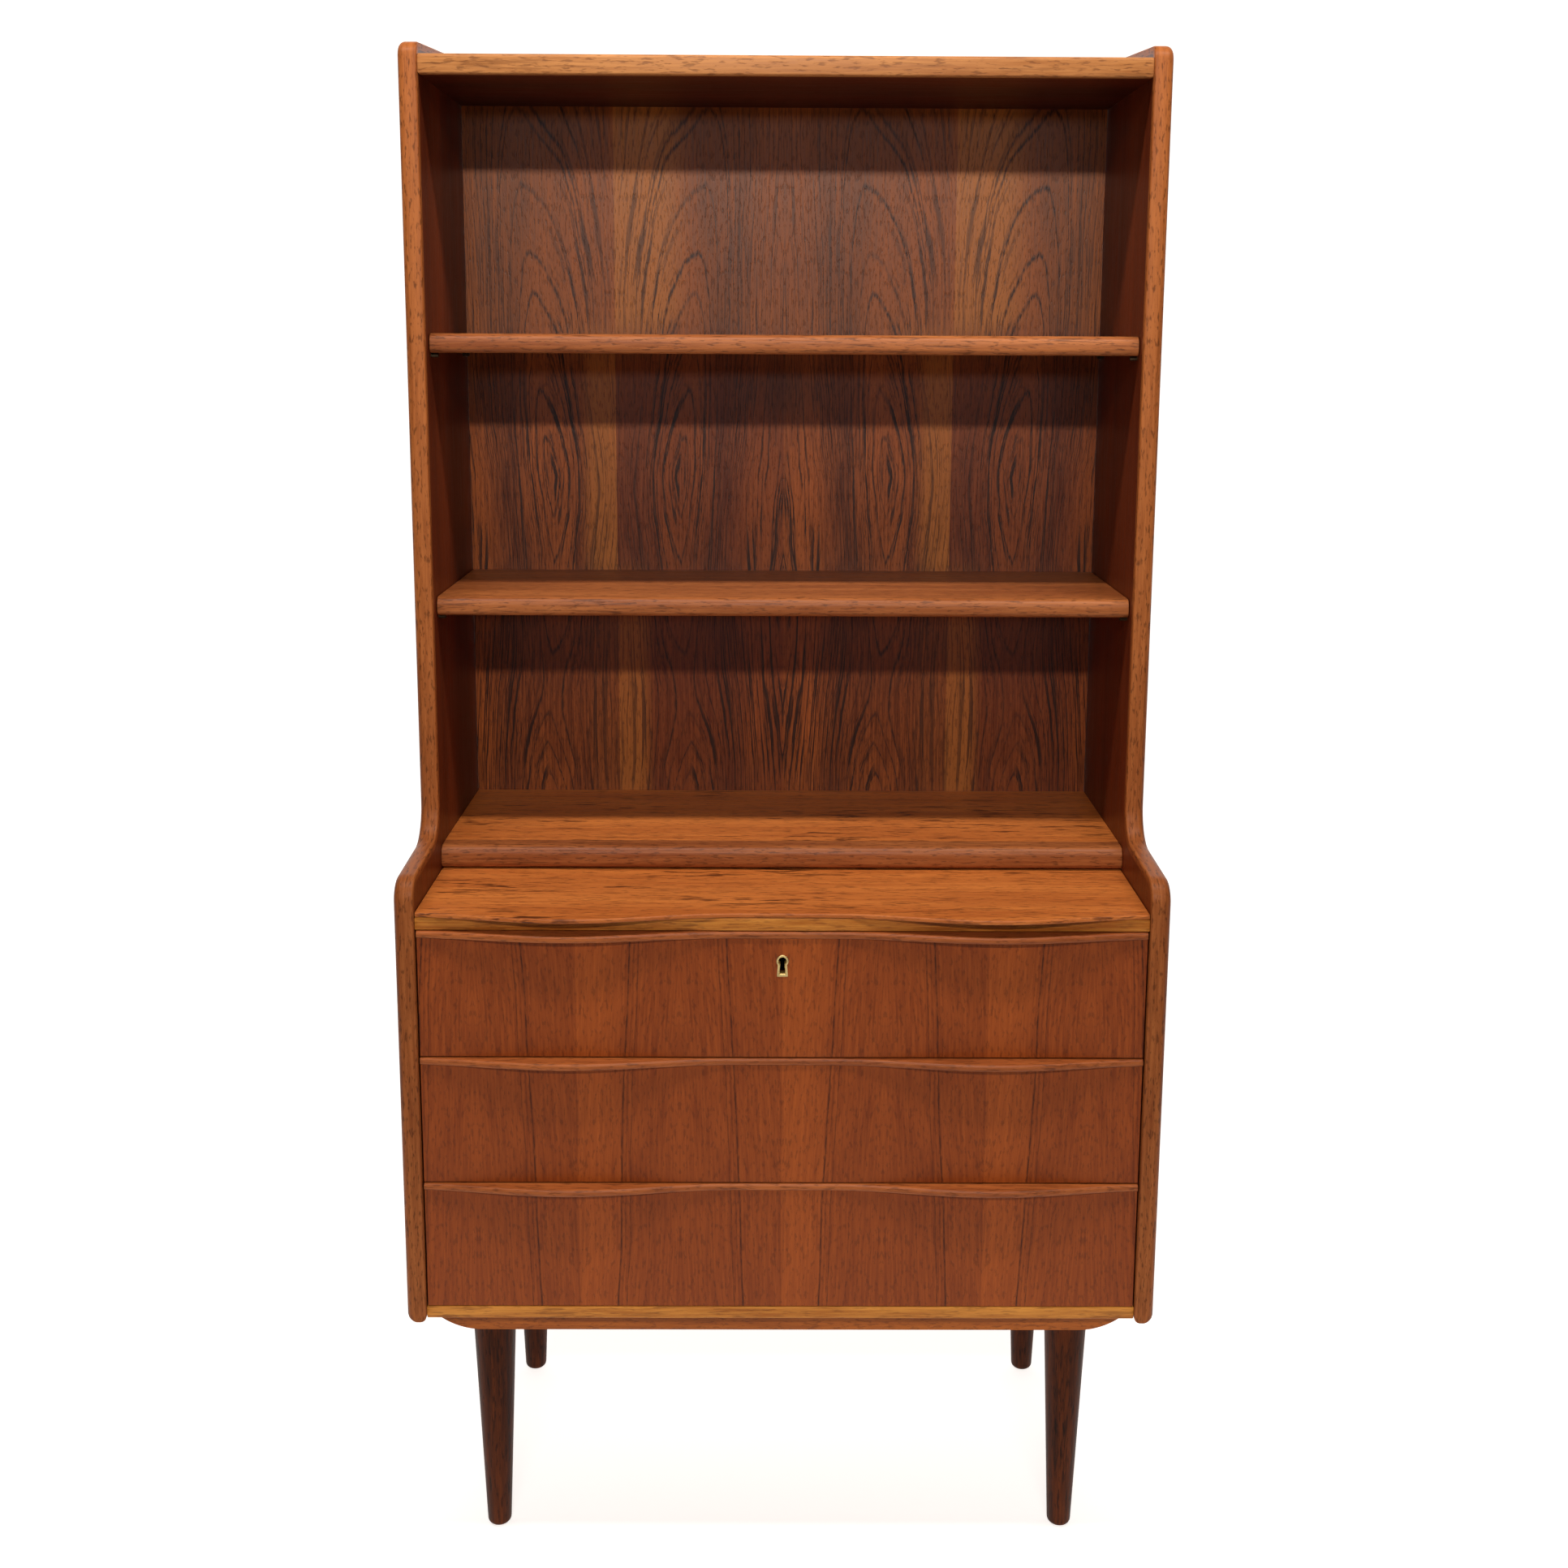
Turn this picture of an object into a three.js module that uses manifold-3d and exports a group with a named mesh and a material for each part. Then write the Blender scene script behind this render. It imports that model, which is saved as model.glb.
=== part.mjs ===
// Secretary desk in teak: an open bookcase with two shelves, a thin pull-out writing slide and a
// chest of three inset drawers, between two stepped gables, on four turned legs.
// Millimetres. +X is right, -Y is the front, +Z is up. Every depth below is counted backwards from
// the front edge of the gables; the group at the end moves the origin under the middle of the desk.
import * as THREE from "three";
import { mergeVertices } from "three/addons/utils/BufferGeometryUtils.js";
import Module from "manifold-3d";

const wasm = await Module();
wasm.setup();

// Driving dimensions.
const width = 820;
const depth = 420;
const gableFoot = 298;
const board = 21;
const thinBoard = 13.7;
const backBoard = 6;
const gap = 0.3;
const arcSteps = 6;

// Gable outline: deep chest, short step at writing height, shallow bookcase above.
const setback = 150;
const stepFront = 802;
const stepRear = 806;
const stepRound = 26;
const stepCove = 38;
const crownFront = 1672;
const crownRear = 1693;
const crownRound = 16;
const sideLipping = 8;

// Depths of the fixed boards.
const faceDepth = 6;
const backDepth = 405;
const edgeLipping = 8;
const topSetback = setback + 3;
const shelfSetback = setback + 19;
const counterSetback = setback + 5;
const counterNoseDepth = 27;

// Heights of the fixed boards.
const bottomLow = 300;
const drawerFloor = bottomLow + thinBoard + gap;
const drawerZones = [146, 144, 142];
const dividerLow = drawerFloor + drawerZones.reduce((sum, zone) => sum + zone, 0);
const dividerHigh = dividerLow + thinBoard;
const counterTop = 792;
const counterNose = 25.5;
const middleShelfTop = 1077;
const upperShelfTop = 1368;
const topHigh = 1659;

// Shelf pins and the spare holes above them.
const pinRadius = 2.5;
const pinLength = 16;
const pinHoleRadius = pinRadius + gap;
const pinHoleDepth = 9;
const pinPitch = 55;
const pinDepths = { front: 184, rear: 375 };

// Lips: the finger grips of the writing slide and the drawers.
const lipReach = 15;
const lipSwell = faceDepth + lipReach;
const drawerLipSwell = 16;
const waveStart = 50;
const waveLength = 360;
const waveSteps = 40;

// Writing slide.
const slideThick = 5;
const slideLipDepth = 34;
const slideRear = 398;
const slideSideGap = 0.8;
const stopHeight = 3.5;
const stopDepth = 20;
const stopHalf = 300;

// Drawers.
const frontGap = 1.8;
const zoneGap = 0.9;
const frontThick = 18;
const lipThick = 7.5;
const lipStandoff = 2;
const drawerSideGap = 5;
const drawerSideThick = 14;
const drawerSideFoot = 12;
const drawerSideTop = 24;
const drawerRear = 392;
const drawerBackThick = 12;
const drawerBottomThick = 6;
const drawerBottomRise = 8;
const bottomGroove = 5;
const runnerRise = 40;
const runnerHeight = 14;
const runnerThick = 12;
const runnerSpan = [30, 395];
const grooveClearance = 0.5;

// Lock of the top drawer.
const escutcheon = { centre: 712.6, foot: 700.3, radius: 6.5, slot: 4.6, wall: 1.9, length: 10, proud: 0.5 };
const lockHalf = 30;
const lockDepth = 12;
const lockLow = 688;
const boltHalf = 12;
const boltThick = 4.4;
const boltLow = 717;
const boltTop = 744.8;
const lockWall = 4;
const boltClearance = 0.5;
const keySlotHalf = 2.7;
const mortiseMargin = 2;

// Battens and legs.
const battenSpan = { front: [48, 104], rear: [353, 409] };
const battenLow = 260;
const battenHalf = 386;
const battenSweep = 80;
const battenSweepLength = 50;
const legInset = 326.8;
const legDepths = { front: 76, rear: 381 };
const legTopRadius = 24;
const legFootRadius = 13.6;
const legFootRound = 6;
const legSegments = 20;

// Derived.
const half = width / 2;
const innerHalf = half - board;
const boardHalf = innerHalf - gap;
const frontHalf = innerHalf - frontGap;

function material(color, roughness, metalness = 0) {
  return new THREE.MeshStandardMaterial({ color, roughness, metalness });
}
const teak = material(0x97501f, 0.45);
const teakEdge = material(0xb5682e, 0.45);
const goldenTeak = material(0xb97f35, 0.5);
const darkTeak = material(0x5e2c16, 0.5);
const walnut = material(0x3a1f12, 0.4);
const drawerWood = material(0xc79a62, 0.6);
const brass = material(0xd9b25c, 0.3, 1);
const steel = material(0x9a9a98, 0.35, 1);

// Turns for outlines drawn in (y, z) and swept along +X, or drawn in (x, z) and swept along -Y.
function turn(xAxis, yAxis, zAxis) {
  const basis = new THREE.Matrix4().makeBasis(
    new THREE.Vector3(...xAxis), new THREE.Vector3(...yAxis), new THREE.Vector3(...zAxis));
  return new THREE.Quaternion().setFromRotationMatrix(basis);
}
const alongX = turn([0, 1, 0], [0, 0, 1], [1, 0, 0]);
const alongY = turn([1, 0, 0], [0, 0, 1], [0, -1, 0]);

const desk = new THREE.Group();

function add(name, geometry, surface) {
  const mesh = new THREE.Mesh(geometry, surface);
  mesh.name = name;
  desk.add(mesh);
  return mesh;
}

function addBox(name, surface, x, y, z) {
  const mesh = add(name, new THREE.BoxGeometry(x[1] - x[0], y[1] - y[0], z[1] - z[0]), surface);
  mesh.position.set((x[0] + x[1]) / 2, (y[0] + y[1]) / 2, (z[0] + z[1]) / 2);
}

function sweep(outline, length) {
  return new THREE.ExtrudeGeometry(outline, { depth: length, bevelEnabled: false, curveSegments: arcSteps });
}

function addSweepX(name, surface, outline, x) {
  const mesh = add(name, sweep(outline, x[1] - x[0]), surface);
  mesh.quaternion.copy(alongX);
  mesh.position.x = x[0];
}

function addSweepY(name, surface, outline, y) {
  const mesh = add(name, sweep(outline, y[1] - y[0]), surface);
  mesh.quaternion.copy(alongY);
  mesh.position.y = y[1];
}

function addSweepZ(name, surface, outline, z) {
  const mesh = add(name, sweep(outline, z[1] - z[0]), surface);
  mesh.position.z = z[0];
}

function rectangle(x, y) {
  return new THREE.Shape([
    new THREE.Vector2(x[0], y[0]), new THREE.Vector2(x[1], y[0]),
    new THREE.Vector2(x[1], y[1]), new THREE.Vector2(x[0], y[1])]);
}

// Booleans.
function toSolid(geometry) {
  const bare = geometry.clone();
  bare.deleteAttribute("normal");
  bare.deleteAttribute("uv");
  const merged = mergeVertices(bare);
  return new wasm.Manifold(new wasm.Mesh({
    numProp: 3,
    vertProperties: new Float32Array(merged.attributes.position.array),
    triVerts: new Uint32Array(merged.index.array),
  }));
}

function cut(geometry, tools) {
  const left = tools.reduce((solid, tool) => solid.subtract(toSolid(tool)), toSolid(geometry));
  const mesh = left.getMesh();
  const result = new THREE.BufferGeometry();
  result.setAttribute("position", new THREE.BufferAttribute(mesh.vertProperties, 3));
  result.setIndex(new THREE.BufferAttribute(mesh.triVerts, 1));
  result.computeVertexNormals();
  return result;
}

function boxTool(x, y, z) {
  const tool = new THREE.BoxGeometry(x[1] - x[0], y[1] - y[0], z[1] - z[0]);
  tool.translate((x[0] + x[1]) / 2, (y[0] + y[1]) / 2, (z[0] + z[1]) / 2);
  return tool;
}

// The gable's front and top edge in (y, z), moved inwards by inset.
function gableEdge(inset) {
  const edge = new THREE.Path();
  edge.moveTo(inset, gableFoot);
  edge.lineTo(inset, stepFront - stepRound);
  edge.absarc(stepRound, stepFront - stepRound, stepRound - inset, Math.PI, Math.PI / 2, true);
  edge.absarc(setback - stepCove, stepRear + stepCove, stepCove + inset, -Math.PI / 2, 0, false);
  edge.lineTo(setback + inset, crownFront - crownRound);
  edge.absarc(setback + crownRound, crownFront - crownRound, crownRound - inset, Math.PI, Math.PI / 2, true);
  edge.lineTo(depth, crownRear - inset);
  return edge.getPoints(arcSteps);
}

function gableCore() {
  return new THREE.Shape([...gableEdge(sideLipping + gap), new THREE.Vector2(depth, gableFoot)]);
}

function gableLipping() {
  return new THREE.Shape([...gableEdge(0), ...gableEdge(sideLipping).reverse()]);
}

// Blind holes for the shelf pins, in the gable's own (y, z, thickness) coordinates.
function pinHoles(innerFace) {
  const holes = [];
  for (const shelfTop of [middleShelfTop, upperShelfTop]) {
    for (const y of Object.values(pinDepths)) {
      for (const rise of [0, pinPitch]) {
        const hole = new THREE.CylinderGeometry(pinHoleRadius, pinHoleRadius, 2 * pinHoleDepth, 10);
        hole.rotateX(Math.PI / 2);
        hole.translate(y, pinHeight(shelfTop) + rise, innerFace);
        holes.push(hole);
      }
    }
  }
  return holes;
}

function pinHeight(shelfTop) {
  return shelfTop - board - gap - pinRadius;
}

function addGables() {
  for (const [side, x, innerFace] of [["left", -half, board], ["right", innerHalf, 0]]) {
    const core = cut(sweep(gableCore(), board), pinHoles(innerFace));
    const mesh = add(`${side}_side`, core, teak);
    mesh.quaternion.copy(alongX);
    mesh.position.x = x;
    addSweepX(`${side}_side_lipping`, teakEdge, gableLipping(), [x, x + board]);
  }
}

// A board in (y, z) whose front edge is rounded by the given radius above and below.
function nosedBoard(y, z, above, below) {
  const shape = new THREE.Shape();
  shape.moveTo(y[1], z[0]);
  shape.lineTo(y[1], z[1]);
  shape.absarc(y[0] + above, z[1] - above, above, Math.PI / 2, Math.PI, false);
  shape.absarc(y[0] + below, z[0] + below, below, Math.PI, Math.PI * 1.5, false);
  return shape;
}

function addFixedBoards() {
  const x = [-boardHalf, boardHalf];
  const rear = backDepth - gap;

  const topLow = topHigh - board;
  const topSplit = topSetback + edgeLipping;
  addSweepX("top_lipping", goldenTeak, nosedBoard([topSetback, topSplit], [topLow, topHigh], 4, 2), x);
  addBox("top_panel", teak, x, [topSplit + gap, rear], [topLow, topHigh]);

  const noseSplit = counterSetback + counterNoseDepth;
  const noseLow = counterTop - counterNose;
  addSweepX("counter_lipping", teakEdge,
    nosedBoard([counterSetback, noseSplit], [noseLow, counterTop], 9, 7), x);
  addBox("counter_panel", teak, x, [noseSplit + gap, rear], [counterTop - board, counterTop]);

  for (const [name, low] of [["divider", dividerLow], ["bottom", bottomLow]]) {
    const split = faceDepth + edgeLipping;
    addBox(`${name}_lipping`, goldenTeak, x, [faceDepth, split], [low, low + thinBoard]);
    const plan = rectangle(x, [split + gap, rear]);
    if (name === "divider") {
      plan.holes.push(boltMortise());
    }
    addSweepZ(`${name}_panel`, teak, plan, [low, low + thinBoard]);
  }
}

function addBacks() {
  const x = [-boardHalf, boardHalf];
  const y = [backDepth, backDepth + backBoard];
  addBox("back_lower", darkTeak, x, y, [bottomLow, counterTop - board]);
  addBox("back_upper", darkTeak, x, y, [counterTop - board + gap, topHigh]);
}

function addShelves() {
  for (const [name, top] of [["middle", middleShelfTop], ["upper", upperShelfTop]]) {
    const outline = nosedBoard([shelfSetback, backDepth - 1], [top - board, top], 8, 5);
    addSweepX(`${name}_shelf`, teak, outline, [-innerHalf + 1, innerHalf - 1]);
    for (const [side, sign] of [["left", -1], ["right", 1]]) {
      for (const [place, y] of Object.entries(pinDepths)) {
        const pin = new THREE.CylinderGeometry(pinRadius, pinRadius, pinLength, 10);
        const mesh = add(`${name}_pin_${side}_${place}`, pin, steel);
        mesh.rotation.z = Math.PI / 2;
        mesh.position.set(sign * innerHalf, y, pinHeight(top));
      }
    }
  }
}

function addUndercarriage() {
  const sweepAngle = Math.asin(battenSweepLength / battenSweep);
  const sweepCentre = battenHalf - battenSweepLength;
  const down = -Math.PI / 2;
  const outline = new THREE.Shape();
  outline.moveTo(battenHalf, bottomLow - gap);
  outline.lineTo(-battenHalf, bottomLow - gap);
  outline.absarc(-sweepCentre, battenLow + battenSweep, battenSweep, down - sweepAngle, down, false);
  outline.absarc(sweepCentre, battenLow + battenSweep, battenSweep, down, down + sweepAngle, false);
  for (const [place, y] of Object.entries(battenSpan)) {
    addSweepY(`${place}_batten`, teakEdge, outline, y);
  }

  const legHeight = battenLow - gap;
  const profile = new THREE.Path();
  profile.moveTo(0, 0);
  profile.lineTo(legFootRadius - legFootRound, 0);
  profile.absarc(legFootRadius - legFootRound, legFootRound, legFootRound, -Math.PI / 2, 0, false);
  profile.lineTo(legTopRadius, legHeight);
  profile.lineTo(0, legHeight);
  for (const [place, y] of Object.entries(legDepths)) {
    for (const [side, sign] of [["left", -1], ["right", 1]]) {
      const leg = new THREE.LatheGeometry(profile.getPoints(arcSteps), legSegments);
      leg.rotateX(Math.PI / 2);
      const mesh = add(`leg_${place}_${side}`, leg, walnut);
      mesh.position.set(sign * legInset, y, 0);
    }
  }
}

// How far a lip swells forward at x: straight in the middle, with a finger grip on each side.
function wave(x, swell) {
  const along = (Math.abs(x) - waveStart) / waveLength;
  return along > 0 ? swell * Math.sin(Math.PI * along) ** 2 : 0;
}

// The lip's outline seen from above.
function lipPlan(lipHalf, frontEdge, rearEdge, swell) {
  const points = [new THREE.Vector2(lipHalf, rearEdge), new THREE.Vector2(-lipHalf, rearEdge)];
  for (let step = 0; step <= waveSteps; step += 1) {
    const x = lipHalf * (2 * step / waveSteps - 1);
    points.push(new THREE.Vector2(x, frontEdge - wave(x, swell)));
  }
  return new THREE.Shape(points);
}

function addWritingSlide() {
  const slideHalf = innerHalf - slideSideGap;
  const z = [dividerHigh + gap, dividerHigh + gap + slideThick];
  const split = faceDepth + slideLipDepth;
  addSweepZ("slide_lip", teakEdge, lipPlan(slideHalf, faceDepth, split, lipSwell), z);
  addBox("slide_panel", teak, [-slideHalf, slideHalf], [split + gap, slideRear], z);
  addBox("slide_stop", drawerWood, [-stopHalf, stopHalf], [slideRear - stopDepth, slideRear],
    [z[1] + gap, z[1] + gap + stopHeight]);
}

// One drawer side in (x, z): a groove outside for the runner, a groove inside for the bottom.
function drawerSide(sign, low, high, runnerLow) {
  const outer = innerHalf - drawerSideGap;
  const inner = outer - drawerSideThick;
  const grooveFloor = innerHalf - runnerThick - grooveClearance;
  const grooveLow = runnerLow - grooveClearance;
  const grooveHigh = runnerLow + runnerHeight + grooveClearance;
  const slotLow = low + drawerBottomRise - gap;
  const slotHigh = low + drawerBottomRise + drawerBottomThick + gap;
  const outline = [
    [inner, low], [outer, low], [outer, grooveLow], [grooveFloor, grooveLow],
    [grooveFloor, grooveHigh], [outer, grooveHigh], [outer, high], [inner, high],
    [inner, slotHigh], [inner + bottomGroove, slotHigh], [inner + bottomGroove, slotLow], [inner, slotLow],
  ];
  return new THREE.Shape(outline.map(([x, z]) => new THREE.Vector2(sign * x, z)));
}

function addDrawer(name, zoneLow, zoneHigh, keyhole) {
  const frontRear = faceDepth + frontThick;
  const lipZ = [zoneHigh - zoneGap - lipThick, zoneHigh - zoneGap];
  const frontOutline = rectangle([-frontHalf, frontHalf], [zoneLow + zoneGap, lipZ[0] - gap]);
  if (keyhole) {
    frontOutline.holes.push(keyhole);
  }
  addSweepY(`${name}_front`, teak, frontOutline, [faceDepth, frontRear]);
  addSweepZ(`${name}_lip`, teakEdge,
    lipPlan(frontHalf, faceDepth - lipStandoff, frontRear, drawerLipSwell), lipZ);

  const low = zoneLow + drawerSideFoot;
  const high = zoneHigh - drawerSideTop;
  const boxY = [frontRear + gap, drawerRear];
  const inner = innerHalf - drawerSideGap - drawerSideThick;
  const bottomTop = low + drawerBottomRise + drawerBottomThick;
  for (const [side, sign] of [["left", -1], ["right", 1]]) {
    addSweepY(`${name}_side_${side}`, drawerWood, drawerSide(sign, low, high, low + runnerRise), boxY);
    const runnerX = [sign * (innerHalf - gap), sign * (innerHalf - runnerThick)].sort((a, b) => a - b);
    addBox(`${name}_runner_${side}`, drawerWood, runnerX, runnerSpan,
      [low + runnerRise, low + runnerRise + runnerHeight]);
  }
  addBox(`${name}_back`, drawerWood, [gap - inner, inner - gap],
    [drawerRear - drawerBackThick, drawerRear], [bottomTop + gap, high]);
  const boardEdge = inner + bottomGroove - gap;
  addBox(`${name}_bottom`, drawerWood, [-boardEdge, boardEdge], boxY,
    [low + drawerBottomRise, bottomTop]);
}

// A keyhole outline in (x, z): a round head over a slot with a round foot.
function keyholeOutline(target, radius, slot) {
  const shoulder = Math.acos(slot / radius);
  target.absarc(0, escutcheon.centre, radius, -shoulder, Math.PI + shoulder, false);
  target.absarc(0, escutcheon.foot, slot, Math.PI, 2 * Math.PI, false);
  return target;
}

function boltSpan() {
  const middle = faceDepth + frontThick + gap + lockDepth / 2;
  return [middle - boltThick / 2, middle + boltThick / 2];
}

function boltMortise() {
  const y = boltSpan();
  return rectangle([-boltHalf - mortiseMargin, boltHalf + mortiseMargin],
    [y[0] - mortiseMargin, y[1] + mortiseMargin]);
}

function addLock() {
  const ring = keyholeOutline(new THREE.Shape(), escutcheon.radius, escutcheon.slot);
  ring.holes.push(keyholeOutline(new THREE.Path(), escutcheon.radius - escutcheon.wall,
    escutcheon.slot - escutcheon.wall));
  const ringFront = faceDepth - escutcheon.proud;
  addSweepY("escutcheon", brass, ring, [ringFront, ringFront + escutcheon.length]);

  const caseY = [faceDepth + frontThick + gap, faceDepth + frontThick + gap + lockDepth];
  const bolt = boltSpan();
  const pocketY = [bolt[0] - boltClearance, bolt[1] + boltClearance];
  const pocketHalf = boltHalf + boltClearance;
  const pocket = boxTool([-pocketHalf, pocketHalf], pocketY, [lockLow + lockWall, boltTop + lockWall]);
  const keySlot = boxTool([-keySlotHalf, keySlotHalf], [caseY[0] - lockWall, bolt[0]],
    [escutcheon.foot - keySlotHalf, escutcheon.centre]);
  const caseBox = boxTool([-lockHalf, lockHalf], caseY, [lockLow, boltTop]);
  add("lock_case", cut(caseBox, [pocket, keySlot]), brass);
  addBox("lock_bolt", brass, [-boltHalf, boltHalf], bolt, [boltLow, boltTop]);
}

function addDrawers() {
  const names = ["bottom_drawer", "middle_drawer", "top_drawer"];
  let low = drawerFloor;
  names.forEach((name, index) => {
    const high = low + drawerZones[index];
    const keyhole = name === "top_drawer"
      ? keyholeOutline(new THREE.Path(), escutcheon.radius + gap, escutcheon.slot + gap)
      : null;
    addDrawer(name, low, high, keyhole);
    low = high;
  });
}

addGables();
addFixedBoards();
addBacks();
addShelves();
addUndercarriage();
addWritingSlide();
addDrawers();
addLock();

desk.position.y = (lipReach - depth) / 2;
const secretary = new THREE.Group();
secretary.add(desk);

export default secretary;
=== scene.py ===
"""The looks of a teak secretary desk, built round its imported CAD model. Metres, the CAD's own frame."""
import math

import bmesh
import bpy
from mathutils import Matrix, Vector


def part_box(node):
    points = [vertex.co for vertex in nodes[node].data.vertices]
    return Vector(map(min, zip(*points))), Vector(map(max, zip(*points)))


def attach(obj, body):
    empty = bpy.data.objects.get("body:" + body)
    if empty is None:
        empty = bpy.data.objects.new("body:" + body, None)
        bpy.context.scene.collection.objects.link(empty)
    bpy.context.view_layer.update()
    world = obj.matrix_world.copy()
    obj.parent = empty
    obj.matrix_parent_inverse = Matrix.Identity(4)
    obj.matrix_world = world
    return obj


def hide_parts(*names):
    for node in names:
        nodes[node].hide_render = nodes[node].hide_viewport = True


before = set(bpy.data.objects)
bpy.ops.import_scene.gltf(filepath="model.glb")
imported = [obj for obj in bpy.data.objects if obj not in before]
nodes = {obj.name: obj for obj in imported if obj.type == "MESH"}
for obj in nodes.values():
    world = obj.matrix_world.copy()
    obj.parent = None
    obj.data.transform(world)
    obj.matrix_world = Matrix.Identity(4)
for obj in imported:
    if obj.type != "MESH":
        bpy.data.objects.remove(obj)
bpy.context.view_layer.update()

MM = 0.001

# ---------------------------------------------------------------------------------------------
# Places that come from the frame.

LEFT_LOW, LEFT_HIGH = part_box("left_side_lipping")
RIGHT_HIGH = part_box("right_side_lipping")[1]
FRONT = LEFT_LOW.y
REAR = LEFT_HIGH.y
FOOT = LEFT_LOW.z
CROWN_REAR = LEFT_HIGH.z
BOARD = LEFT_HIGH.x - LEFT_LOW.x

# The gable's outline: the same curves as the CAD's.
SETBACK = 150 * MM
STEP_FRONT = 802 * MM
STEP_REAR = 806 * MM
STEP_ROUND = 26 * MM
STEP_COVE = 38 * MM
CROWN_FRONT = 1672 * MM
CROWN_ROUND = 16 * MM
SIDE_LIPPING = 8 * MM
OUTER_ROUND = 7.5 * MM
INNER_ROUND = 2 * MM
FOOT_OUTER_ROUND = 8 * MM
FOOT_INNER_ROUND = 5 * MM

# The wavy lips.
LIP_SWELL = {"slide_lip": 21 * MM, "drawer": 16 * MM}
WAVE_START = 50 * MM
WAVE_LENGTH = 360 * MM
LIP_STATIONS = 120
LIP_SAMPLES = 200

ARC_STEPS = 10

# The camera: its lens and frame, where it stands, and its turn, downward tilt and roll in degrees.
CAMERA_LENS = 38.98
CAMERA_SENSOR = 36
CAMERA_SHIFT = -0.1
CAMERA_PLACE = (-0.010, FRONT - 1.7117, 1.3612)
CAMERA_TURN = -0.33
CAMERA_TILT = 9.56
CAMERA_ROLL = 0.28

# The floor and the backdrop that it curves up into. The floor's glow starts in front of the desk and
# grows as far as the desk's rear.
FLOOR_FRONT = -6.0
FLOOR_REAR = 3.2
FLOOR_SIDE = 7.0
BACKDROP_HEIGHT = 6.0
BACKDROP_BEND = 1.6
BACKDROP_STEPS = 24
FLOOR_COLOUR = (0.6, 0.6, 0.6, 1)
GLOW_COLOUR = (1, 0.97, 0.94, 1)
GLOW_START = FRONT - 1.3
GLOW_STRENGTH = 0.85

# The lights.
WARM = (1, 0.93, 0.84)
COOL = (0.90, 0.95, 1)
CEILING = 2.66
EVEN_LIGHT = 0.018

# The legs.
LEG_FOOT_RADIUS = 13.6 * MM
LEG_FOOT_ROUND = 6 * MM
LEG_TAPER_STATIONS = (0.1, 0.25, 0.5, 0.75, 1)
LEG_SIDES = 48

# The keyhole ring: the half width of its head, neck and foot, how far the CAD's ring stands out from
# the drawer's face, how far this one reaches below it, and the point at the top of its head. The
# section goes over the rim and down the hole, as (place behind the face, distance in from the outline).
RING_HEAD = 6.5 * MM
RING_NECK = 5.0 * MM
RING_FOOT = 5.9 * MM
RING_FACE = 0.5 * MM
RING_DROP = 0.3 * MM
RING_CUSP = 0.4 * MM
RING_SECTION = ((0.1 * MM, 0.0), (-0.4 * MM, 0.0), (-0.8 * MM, 0.35 * MM), (-0.9 * MM, 1.1 * MM),
                (-0.8 * MM, 1.85 * MM), (-0.4 * MM, 2.2 * MM))
RING_TUBE = 2.3 * MM
RING_BORE = 1.4 * MM
RING_LEDGE = 0.4 * MM
HEAD_STEPS = 32


# ---------------------------------------------------------------------------------------------
# Mesh building.

def arc(centre, radius, start, end, steps=ARC_STEPS):
    """Points of an arc in a plane, with start and end in degrees."""
    points = []
    for step in range(steps + 1):
        angle = math.radians(start + (end - start) * step / steps)
        points.append((centre[0] + radius * math.cos(angle), centre[1] + radius * math.sin(angle)))
    return points


def new_piece(name, vertices, faces, body, surface, stands_for=(), slot=None, sharp=35, grain=None):
    """A mesh object that rides on a body, with its faces turned outwards and smooth shading."""
    mesh = bpy.data.meshes.new(name)
    mesh.from_pydata([tuple(v) for v in vertices], [], faces)
    if grain:
        directions = mesh.attributes.new("grain", "FLOAT_VECTOR", "POINT")
        for entry, place in zip(directions.data, grain):
            entry.vector = place
    shape = bmesh.new()
    shape.from_mesh(mesh)
    bmesh.ops.recalc_face_normals(shape, faces=shape.faces)
    shape.to_mesh(mesh)
    shape.free()
    mesh.shade_smooth()
    mesh.set_sharp_from_angle(angle=math.radians(sharp))
    mesh.materials.append(surface)
    piece = bpy.data.objects.new(name, mesh)
    bpy.context.scene.collection.objects.link(piece)
    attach(piece, body)
    if stands_for:
        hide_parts(*stands_for)
    return piece


def loft(rings, closed=False):
    """Vertices and faces of a skin over rings of equal length; open lofts get a cap at each end."""
    size = len(rings[0])
    vertices = [point for ring in rings for point in ring]
    faces = []
    spans = len(rings) if closed else len(rings) - 1
    for ring in range(spans):
        here = ring * size
        there = (ring + 1) % len(rings) * size
        for k in range(size):
            after = (k + 1) % size
            faces.append((here + k, here + after, there + after, there + k))
    if not closed:
        faces.append(tuple(range(size)))
        faces.append(tuple(range(len(vertices) - size, len(vertices))))
    return vertices, faces


def along_x(outline, x):
    return [(x, y, z) for y, z in outline]


def bar(name, outline, low_x, high_x, body, surface, stands_for, slot, ease=0.6 * MM):
    """An outline in (y, z) carried along X, with its two ends eased."""
    middle = Vector((sum(p[0] for p in outline), sum(p[1] for p in outline))) / len(outline)
    eased = []
    for y, z in outline:
        towards = (middle - Vector((y, z))).normalized() * ease
        eased.append((y + towards.x, z + towards.y))
    rings = [along_x(eased, low_x), along_x(outline, low_x + ease),
             along_x(outline, high_x - ease), along_x(eased, high_x)]
    return new_piece(name, *loft(rings), body, surface, stands_for, slot)


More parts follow.
